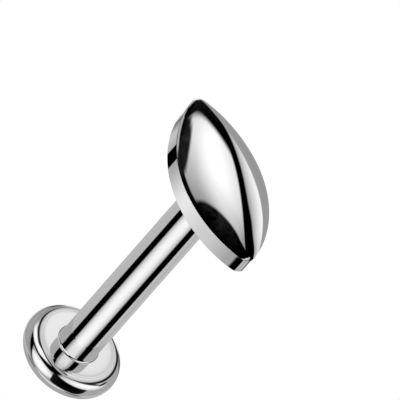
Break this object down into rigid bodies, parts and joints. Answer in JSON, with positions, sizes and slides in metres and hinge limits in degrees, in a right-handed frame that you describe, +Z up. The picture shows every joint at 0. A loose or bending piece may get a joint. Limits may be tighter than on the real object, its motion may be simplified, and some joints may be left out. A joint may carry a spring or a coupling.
{
  "type": "labret stud",
  "caption": "Flat-back labret stud: a round disc on a straight post, with a domed marquise top whose pin pushes into the post's end.",
  "frame": {"origin": "centre of the disc's flat back, which the stud stands on", "axes": "+Z runs up the post towards the marquise; X lies along the marquise's long axis and Y across it"},
  "size_m": [0.0054, 0.003, 0.01],
  "materials": {
    "polished_post": "mirror-polished surgical steel",
    "polished_top": "mirror-polished surgical steel"
  },
  "bodies": {
    "base": {"disc_post": "polished_post"},
    "top": {"marquise_top": "polished_top"}
  },
  "joints": [
    {"name": "top_pull", "type": "slide", "parent": "base", "child": "top", "axis": [0, 0, 1], "range_m": [0, 0.0019]}
  ]
}
